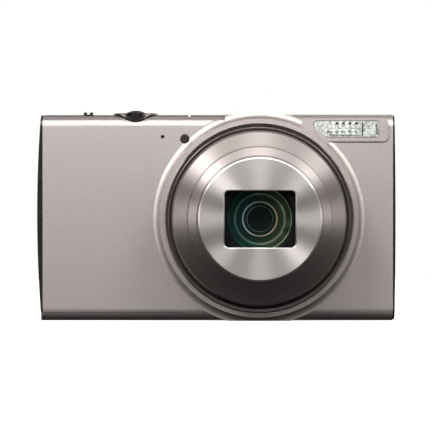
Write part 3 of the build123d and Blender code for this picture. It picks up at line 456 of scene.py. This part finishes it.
# Radius, then depths of the edge and of the middle in millimetres, then the tint and the coating.
INNER_GLASSES = [
    ("second_glass", 6.3, 3.45, 3.1, (0.95, 0.98, 1.0), (0.85, 0.35, 0.75)),
    ("third_glass", 4.2, 4.45, 4.2, (0.95, 0.98, 1.0), (0.30, 0.95, 0.45)),
]
for name, radius, edge_depth, apex_depth, tint, coating in INNER_GLASSES:
    front = dome_profile(radius * MM, behind_front(edge_depth), behind_front(apex_depth))
    back_depth = behind_front(edge_depth + INNER_THICKNESS)
    back = [(0.0, back_depth), (radius * MM, back_depth)]
    lathe(name, front + back, "lens_glass", "inner_lens", coated_glass(name + "_coating", tint, coating))

# Black disc at the bottom of the cell: painted shade standing in for the dark depth of the lens.
pupil_front = behind_front(5.35)
PUPIL_RADIUS = 3.2 * MM
lathe("pupil_shade_disc", [(PUPIL_RADIUS, pupil_front), (0.0, pupil_front), (0.0, CELL_BACK), (PUPIL_RADIUS, CELL_BACK)],
      "black_plastic", "inner_lens", BARREL_BLACK)


# ---------------------------------------------------------------- flash window
window_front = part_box("flash_window")[0].y
FLASH_LEFT = 26.85            # the window's box, in millimetres
FLASH_RIGHT = 44.97
FLASH_LOW = 51.35
FLASH_HIGH = 55.75
SLANT_FOOT = 30.5             # where the slanted left end meets the lower edge
SLANT = 0.68                  # how steeply it rises to the left
# Points (x, z) of the window's outline, in millimetres.
FLASH_OUTLINE = [
    (26.8, 54.9), (27.15, 55.5), (27.8, 55.75), (44.4, 55.75), (44.85, 55.6), (44.97, 55.2),
    (44.97, 51.9), (44.85, 51.5), (44.4, 51.35), (31.0, 51.35), (30.3, 51.5), (27.3, 53.6), (26.85, 54.2),
]


def moulded_flash():
    """Clear acrylic over a bright reflector, seen as pale glossy plastic with a fine moulded grid."""
    made = Shader("moulded_flash", (0.5, 0.52, 0.49), 0.3, 0.0, IOR=1.49)
    grid = made.noise(1.4, detail=1.0, stretch=(1.6, 1, 0.9))
    made.blend_colours(grid, (0.24, 0.26, 0.24), (0.66, 0.68, 0.64))
    return made.material


FLASH_PLASTIC = moulded_flash()


def inside_flash(x, z, margin):
    """Whether a point, in millimetres, lies in the window, clear of the slanted left end."""
    within_height = FLASH_LOW + margin < z < FLASH_HIGH - margin
    within_width = FLASH_LEFT + margin < x < FLASH_RIGHT - margin
    return within_height and within_width and z - FLASH_LOW > (SLANT_FOOT - x) * SLANT + margin


GRID_PITCH = 0.44
GRID_GAP = 0.03               # half the groove between two pyramids
GRID_MARGIN = 0.22
GRID_START = (27.2, 51.62)
GRID_END = (44.8, 55.6)
PYRAMID_CORNERS = ((-1, -1), (1, -1), (1, 1), (-1, 1))


def flash_window_piece():
    """Window of even thickness whose front carries a fine grid of shallow pyramids."""
    builder = bmesh.new()
    outline = [(x * MM, z * MM) for x, z in FLASH_OUTLINE]
    pane_front = window_front + 0.18 * MM
    pane_back = window_front + 0.55 * MM
    base_depth = window_front + 0.19 * MM
    tip_depth = window_front + 0.05 * MM
    prism(builder, outline, pane_front, pane_back)
    half = GRID_PITCH / 2 - GRID_GAP
    x = GRID_START[0]
    while x < GRID_END[0]:
        z = GRID_START[1]
        while z < GRID_END[1]:
            if inside_flash(x, z, GRID_MARGIN):
                base = [builder.verts.new(((x + dx * half) * MM, base_depth, (z + dz * half) * MM))
                        for dx, dz in PYRAMID_CORNERS]
                tip = builder.verts.new((x * MM, tip_depth, z * MM))
                for corner in range(4):
                    builder.faces.new((base[corner], base[(corner + 1) % 4], tip))
                builder.faces.new(list(reversed(base)))
            z += GRID_PITCH
        x += GRID_PITCH
    return mesh_piece("flash_front", builder, "clear_plastic", "camera", FLASH_PLASTIC, smooth=False)


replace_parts(flash_window_piece(), "flash_window")

BEAD_COLUMNS = (32.5, 34.3, 36.1, 37.9)
BEAD_ROWS = (55.15, 54.15, 53.2, 52.25)
TOP_BEAD_RADIUS = 0.42
BEAD_RADIUS = 0.30
BEAD_HEIGHT = 0.20
BEAD_DEPTH = 0.22             # middle of each bead behind the window's front


def flash_beads():
    """Bright round prisms in columns in front of the tube, the top row larger."""
    builder = bmesh.new()
    for x in BEAD_COLUMNS:
        for z in BEAD_ROWS:
            size = TOP_BEAD_RADIUS if z == BEAD_ROWS[0] else BEAD_RADIUS
            middle = (x * MM, window_front + BEAD_DEPTH * MM, z * MM)
            ball(builder, middle, (size * MM, BEAD_HEIGHT * MM, size * MM), segments=14, rings=8)
    pearl = Shader("bead_plastic", (0.97, 0.97, 0.96), 0.1, 0.0, IOR=1.49)
    pearl.blend_colours(pearl.noise(1.0, detail=1.0), (0.93, 0.94, 0.92), (1.0, 1.0, 0.99))
    return mesh_piece("flash_beads", builder, "clear_plastic", "camera", pearl.material)


flash_beads()


def flash_shadows():
    """Dark ends of the tube's clips and reflector ribs, and painted shadows beside the beads, just under the
    window's surface.
    """
    builder = bmesh.new()
    # left, right, low and high of each patch, in millimetres
    patches = [(40.32, 40.62, 51.6, 55.55), (44.36, 44.62, 52.0, 55.1)]
    # The patches to the right of each column of beads are painted shadows of the beads.
    patches += [(x + 0.55, x + 1.15, 54.85, 55.45) for x in BEAD_COLUMNS]
    patches += [(x + 0.5, x + 1.15, 52.7, 52.86) for x in BEAD_COLUMNS]
    patches += [(31.0, 39.6, 51.78, 51.86), (30.6, 31.9, 52.68, 52.84)]
    for left, right, low, high in patches:
        corners = [(left, low), (right, low), (right, high), (left, high)]
        outline = [(x * MM, z * MM) for x, z in corners]
        prism(builder, outline, window_front + 0.02 * MM, window_front + 0.25 * MM)
    dark = moulded_plastic("flash_shadow", (0.03, 0.032, 0.03), 0.3, 0.002)
    return mesh_piece("flash_ribs_and_shadows", builder, "black_plastic", "camera", dark, smooth=False)


flash_shadows()


# ---------------------------------------------------------------- dark ring in the gap between the ring and the barrel
def gap_ring_grain():
    """Dark brown-grey surface with a fine grain."""
    made = Shader("gap_ring_grain", (0.10, 0.085, 0.08), 0.6)
    grain = made.noise(6.0, detail=2.0)
    made.blend_colours(grain, (0.06, 0.05, 0.048), (0.15, 0.125, 0.12))
    made.bump(grain, strength=0.5, distance=0.02)
    return made.material


GAP_RING_INNER = 23.95 * MM
GAP_RING_OUTER = 24.42 * MM
gap_ring_front = ring_front + 0.5 * MM
gap_ring_back = gap_ring_front + 0.9 * MM
gap_ring_profile = [
    (GAP_RING_INNER, gap_ring_front), (GAP_RING_OUTER, gap_ring_front),
    (GAP_RING_OUTER, gap_ring_back), (GAP_RING_INNER, gap_ring_back),
]
lathe("gap_ring", gap_ring_profile, "black_plastic", "camera", gap_ring_grain())


# ---------------------------------------------------------------- marks and dots on the rear
MARK_DEPTH = 0.04 * MM        # how far a mark stands out of its key, and reaches into it
DOT_RADIUS = 1.1 * MM
ARROW_RADIUS = 0.75 * MM
MENU_BAR_LENGTH = 2.2 * MM
MENU_BAR_THICKNESS = 0.32 * MM
MENU_BAR_PITCH = 0.8 * MM
SIGNAL_BAR_WIDTH = 0.42 * MM
SIGNAL_FOOT = -1.0 * MM       # lower end of the bars, from the middle of the key
# Place across the key and height of each bar, in millimetres.
SIGNAL_BARS = ((1.0, 0.7), (0.33, 1.2), (-0.33, 1.7), (-1.0, 2.2))
printed_white = moulded_plastic("printed_white", (0.62, 0.62, 0.60), 0.5, 0.004)
printed_blue = moulded_plastic("printed_blue", (0.08, 0.30, 0.62), 0.5, 0.004)
printed_red = moulded_plastic("printed_red", (0.62, 0.06, 0.05), 0.5, 0.004)


def round_outline(x, z, radius, steps=28, start=0.0):
    """Points, in metres, of a circle or regular polygon."""
    return [(x + radius * math.cos(start + 2 * math.pi * step / steps),
             z + radius * math.sin(start + 2 * math.pi * step / steps)) for step in range(steps)]


def bar_outline(x, z, width, height):
    """Points, in metres, of a rectangle round a centre."""
    return [(x - width / 2, z - height / 2), (x + width / 2, z - height / 2),
            (x + width / 2, z + height / 2), (x - width / 2, z + height / 2)]


def key_mark(name, key, outlines, body, material=None):
    """Printed mark on the flat top of a rear key; outlines are round the key's middle."""
    middle = centre(key)
    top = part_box(key)[1].y
    builder = bmesh.new()
    for outline in outlines:
        placed = [(middle.x + x, middle.z + z) for x, z in outline]
        prism(builder, placed, top - MARK_DEPTH, top + MARK_DEPTH)
    return mesh_piece(name, builder, "key_plastic", body, material or printed_white, smooth=False)


key_mark("movie_mark", "movie_button", [round_outline(0, 0, DOT_RADIUS)], "movie", printed_red)
playback_triangle = round_outline(0, 0, DOT_RADIUS, steps=3, start=math.pi)
key_mark("playback_mark", "playback_button", [playback_triangle], "playback", printed_blue)
menu_bars = [bar_outline(0, row * MENU_BAR_PITCH, MENU_BAR_LENGTH, MENU_BAR_THICKNESS) for row in (-1, 0, 1)]
key_mark("menu_mark", "menu_button", menu_bars, "menu")
signal_bars = [bar_outline(shift * MM, SIGNAL_FOOT + size / 2 * MM, SIGNAL_BAR_WIDTH, size * MM)
               for shift, size in SIGNAL_BARS]
key_mark("wireless_mark", "wireless_button", signal_bars, "wireless")

# Four triangles half way between the set key and the rim, each pointing outwards.
mark_radius = (half_width("set_button") + half_width("four_way_ring")) / 2
arrows = []
for quarter in range(4):
    turn = quarter * math.pi / 2
    x = mark_radius * math.cos(turn)
    z = mark_radius * math.sin(turn)
    arrows.append(round_outline(x, z, ARROW_RADIUS, steps=3, start=turn))
key_mark("four_way_marks", "four_way_ring", arrows, "four_way")


THUMB_COLUMNS = 4
THUMB_ROWS = 6
THUMB_PITCH = 1.5 * MM
THUMB_CORNER = 2.5            # from the lamp back to the first column and row, in pitches
THUMB_DOT = (0.42 * MM, 0.28 * MM, 0.42 * MM)
LAMP_CLEARANCE = 1.8 * MM


def thumb_rest():
    """Block of small raised dots for the thumb, round the indicator lamp and clear of it."""
    lamp = centre("indicator_lamp")
    builder = bmesh.new()
    for column in range(THUMB_COLUMNS):
        for row in range(THUMB_ROWS):
            x = lamp.x + (column - THUMB_CORNER) * THUMB_PITCH
            z = lamp.z + (row - THUMB_CORNER) * THUMB_PITCH
            if math.hypot(x - lamp.x, z - lamp.z) < LAMP_CLEARANCE:
                continue
            ball(builder, (x, rear_face, z), THUMB_DOT, segments=10, rings=6)
    return mesh_piece("thumb_rest", builder, "black_plastic", "camera")


thumb_rest()

DISPLAY_BORDER = 3.4 * MM


def display_picture():
    """Dark active area of the display, laid on the cover glass, with a faint sheen."""
    made = Shader("display_area", (0.012, 0.013, 0.016), 0.12)
    made.blend_colours(made.noise(0.05, detail=2.0), (0.010, 0.011, 0.014), (0.018, 0.019, 0.024))
    low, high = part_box("display_cover")
    middle = centre("display_cover")
    width = high.x - low.x - 2 * DISPLAY_BORDER
    height = high.z - low.z - 2 * DISPLAY_BORDER
    inner_face = high.y - 0.02 * MM
    outer_face = high.y + 0.015 * MM
    builder = bmesh.new()
    prism(builder, bar_outline(middle.x, middle.z, width, height), inner_face, outer_face)
    return mesh_piece("display_area", builder, "screen_glass", "camera", made.material, smooth=False)


display_picture()


# ---------------------------------------------------------------- zoom lever
KNURL_COUNT = 28
KNURL_START = 20              # degrees round the lever, from the right
KNURL_SPAN = 140
KNURL_RADIUS = 0.16 * MM
KNURL_HALF_HEIGHT = 0.38 * MM
KNURL_DROP = 0.62 * MM        # middle of each rib below the lever's top


def lever_knurl():
    """Fine upright ribs round the rear half of the lever's rim."""
    rim = half_width("zoom_lever")
    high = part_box("zoom_lever")[1]
    middle = centre("zoom_lever")
    radius = rim - KNURL_RADIUS
    builder = bmesh.new()
    for step in range(KNURL_COUNT):
        angle = math.radians(KNURL_START + KNURL_SPAN * step / (KNURL_COUNT - 1))
        x = middle.x + radius * math.cos(angle)
        y = high.y - rim + radius * math.sin(angle)
        z = high.z - KNURL_DROP
        ball(builder, (x, y, z), (KNURL_RADIUS, KNURL_RADIUS, KNURL_HALF_HEIGHT), segments=8, rings=6)
    return mesh_piece("lever_knurl", builder, "dark_chrome", "lever")


lever_knurl()


# ---------------------------------------------------------------- battery and card
gold = polished_metal("gold_contacts", (0.80, 0.58, 0.26), 0.25)
battery_low, battery_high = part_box("battery")
card_low, card_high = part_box("memory_card")


def slab(builder, low, high):
    """Box between two corners."""
    outline = [(low[0], low[2]), (high[0], low[2]), (high[0], high[2]), (low[0], high[2])]
    prism(builder, outline, low[1], high[1])


FIRST_PAD_X = -46.2 * MM
PAD_PITCH = 4.0 * MM
PAD_COUNT = 4
PAD_HALF_WIDTH = 0.9 * MM
PAD_HALF_DEPTH = 1.2 * MM


def battery_contacts():
    """Gold pads in the recesses at the upper end of the battery."""
    builder = bmesh.new()
    middle_y = (battery_low.y + battery_high.y) / 2
    pad_bottom = battery_high.z - 0.42 * MM
    pad_top = battery_high.z - 0.32 * MM
    for step in range(PAD_COUNT):
        x = FIRST_PAD_X + PAD_PITCH * step
        slab(builder, (x - PAD_HALF_WIDTH, middle_y - PAD_HALF_DEPTH, pad_bottom),
             (x + PAD_HALF_WIDTH, middle_y + PAD_HALF_DEPTH, pad_top))
    return mesh_piece("battery_contacts", builder, "battery_shell", "battery_pack", gold, smooth=False)


battery_contacts()


def battery_sleeve():
    """Pale label on the battery's rear face, with a plain orange stripe."""
    left = battery_low.x + 1.2 * MM
    right = battery_high.x - 1.2 * MM
    label_root = battery_high.y - 0.02 * MM
    label_face = battery_high.y + 0.03 * MM
    stripe_face = battery_high.y + 0.05 * MM
    label_bottom = battery_low.z + 5.0 * MM
    label_top = battery_high.z - 6.0 * MM
    stripe_bottom = battery_low.z + 9.0 * MM
    stripe_top = battery_low.z + 11.5 * MM
    band = moulded_plastic("battery_band", (0.42, 0.42, 0.43), 0.45, 0.004)
    builder = bmesh.new()
    slab(builder, (left, label_root, label_bottom), (right, label_face, label_top))
    mesh_piece("battery_band", builder, "battery_shell", "battery_pack", band, smooth=False)
    stripe = bmesh.new()
    slab(stripe, (left, label_face, stripe_bottom), (right, stripe_face, stripe_top))
    mesh_piece("battery_stripe", stripe, "latch_plastic", "battery_pack", smooth=False)


battery_sleeve()


CARD_CONTACTS = 9
FIRST_CONTACT = 0.9           # middle of the first contact from the card's left edge, in pitches
CONTACT_HALF_WIDTH = 0.3      # in pitches


def card_contacts():
    """Row of gold contacts on the card's rear face, at its upper end."""
    builder = bmesh.new()
    pitch = (card_high.x - card_low.x) / (CARD_CONTACTS + 1)
    half = CONTACT_HALF_WIDTH * pitch
    contact_root = card_high.y - 0.02 * MM
    contact_face = card_high.y + 0.02 * MM
    contact_bottom = card_high.z - 5.2 * MM
    contact_top = card_high.z - 1.4 * MM
    for step in range(CARD_CONTACTS):
        x = card_low.x + pitch * (step + FIRST_CONTACT)
        slab(builder, (x - half, contact_root, contact_bottom), (x + half, contact_face, contact_top))
    return mesh_piece("card_contacts", builder, "card_plastic", "card", gold, smooth=False)


card_contacts()


# ---------------------------------------------------------------- stage, lights and camera
def matte(name, colour):
    """Pale studio paper that glows a little."""
    made = Shader(name, colour, 0.9, Emission_Strength=0.75)
    made.shader.inputs["Emission Color"].default_value = WHITE
    made.blend_colours(made.noise(0.01, detail=2.0), shade(colour, 0.985), shade(colour, 1.0))
    return made.material


FLOOR_SIZE = 0.7
FLOOR_PLACE = (0, -0.05, -0.0001)
bpy.ops.mesh.primitive_plane_add(size=FLOOR_SIZE, location=FLOOR_PLACE)
floor = bpy.context.object
floor.name = "studio_floor"
floor.data.materials.append(matte("studio_paper", (0.93, 0.93, 0.93)))

# Height of a reflected direction, from 0 straight down to 1 straight up, and its brightness.
ROOM_LEVELS = [
    (0.0, 0.015), (0.22, 0.03), (0.34, 0.13), (0.47, 0.11),
    (0.5, 0.04), (0.6, 0.07), (0.85, 0.11), (1.0, 0.06),
]


def studio_world():
    """White backdrop for the camera, and a dim room for reflections."""
    world = bpy.data.worlds.new("studio_world")
    scene.world = world
    world.use_nodes = True
    tree = world.node_tree
    room = tree.nodes["Background"]
    coords = tree.nodes.new("ShaderNodeTexCoord")
    split = tree.nodes.new("ShaderNodeSeparateXYZ")
    ramp = tree.nodes.new("ShaderNodeValToRGB")
    ranger = tree.nodes.new("ShaderNodeMapRange")
    ranger.inputs["From Min"].default_value = -1
    tree.links.new(coords.outputs["Generated"], split.inputs["Vector"])
    tree.links.new(split.outputs["Z"], ranger.inputs["Value"])
    tree.links.new(ranger.outputs["Result"], ramp.inputs["Fac"])
    while len(ramp.color_ramp.elements) < len(ROOM_LEVELS):
        ramp.color_ramp.elements.new(0.5)
    for element, (place, level) in zip(ramp.color_ramp.elements, ROOM_LEVELS):
        element.position = place
        element.color = (level, level, level, 1)
    tree.links.new(ramp.outputs["Color"], room.inputs["Color"])
    backdrop = tree.nodes.new("ShaderNodeBackground")
    backdrop.inputs["Color"].default_value = WHITE
    path = tree.nodes.new("ShaderNodeLightPath")
    mix = tree.nodes.new("ShaderNodeMixShader")
    tree.links.new(path.outputs["Is Camera Ray"], mix.inputs["Fac"])
    tree.links.new(room.outputs["Background"], mix.inputs[1])
    tree.links.new(backdrop.outputs["Background"], mix.inputs[2])
    tree.links.new(mix.outputs["Shader"], tree.nodes["World Output"].inputs["Surface"])


studio_world()
# The camera sees the floor, but the metal and the glass don't.
floor.visible_glossy = False
floor.visible_diffuse = False
floor.visible_transmission = False


def softbox(name, place, target, width, height, power):
    """Rectangular light that points at the target."""
    data = bpy.data.lights.new(name, "AREA")
    data.shape = "RECTANGLE"
    data.size = width
    data.size_y = height
    data.energy = power
    light = bpy.data.objects.new(name, data)
    light.location = place
    light.rotation_euler = (Vector(target) - Vector(place)).to_track_quat("-Z", "Y").to_euler()
    scene.collection.objects.link(light)


BODY_MIDDLE = (0, 0, 0.03)
# name, place, target, width, height and power in watts
SOFTBOXES = [
    ("key_softbox", (0.0, -0.125, 0.150), (0, -0.01, 0.02), 0.26, 0.05, 0.24),
    ("top_softbox", (0.02, -0.50, 0.62), BODY_MIDDLE, 0.22, 0.22, 1.0),
    ("left_softbox", (-0.50, -0.55, 0.50), BODY_MIDDLE, 0.22, 0.22, 4.6),
    ("right_softbox", (0.55, -0.55, 0.48), BODY_MIDDLE, 0.22, 0.22, 2.8),
    ("left_panel_light", (-0.60, -0.62, 0.06), BODY_MIDDLE, 0.22, 0.16, 1.0),
    ("right_panel_light", (0.64, -0.62, 0.06), BODY_MIDDLE, 0.22, 0.16, 0.9),
    ("rear_softbox", (0.45, 0.62, 0.60), BODY_MIDDLE, 0.4, 0.4, 3.5),
]
for row in SOFTBOXES:
    softbox(*row)

CAMERA_DISTANCE = 0.8
FRAME_WIDTH = 0.1203          # width of the view at the front panel
SENSOR_WIDTH = 36             # millimetres
ELEVATION = math.radians(0.9)
VIEW_X = -0.0004              # middle of the view at the front panel
VIEW_Z = 0.0293
aim = Vector((VIEW_X, panel_front, VIEW_Z))
camera_data = bpy.data.cameras.new("photo_camera")
camera_data.sensor_width = SENSOR_WIDTH
camera_data.lens = SENSOR_WIDTH * CAMERA_DISTANCE / FRAME_WIDTH
camera_data.clip_start = 0.01
camera = bpy.data.objects.new("photo_camera", camera_data)
camera.location = aim + CAMERA_DISTANCE * Vector((0, -math.cos(ELEVATION), math.sin(ELEVATION)))
camera.rotation_euler = (aim - camera.location).to_track_quat("-Z", "Y").to_euler()
scene.collection.objects.link(camera)
scene.camera = camera
scene.view_settings.view_transform = "Standard"
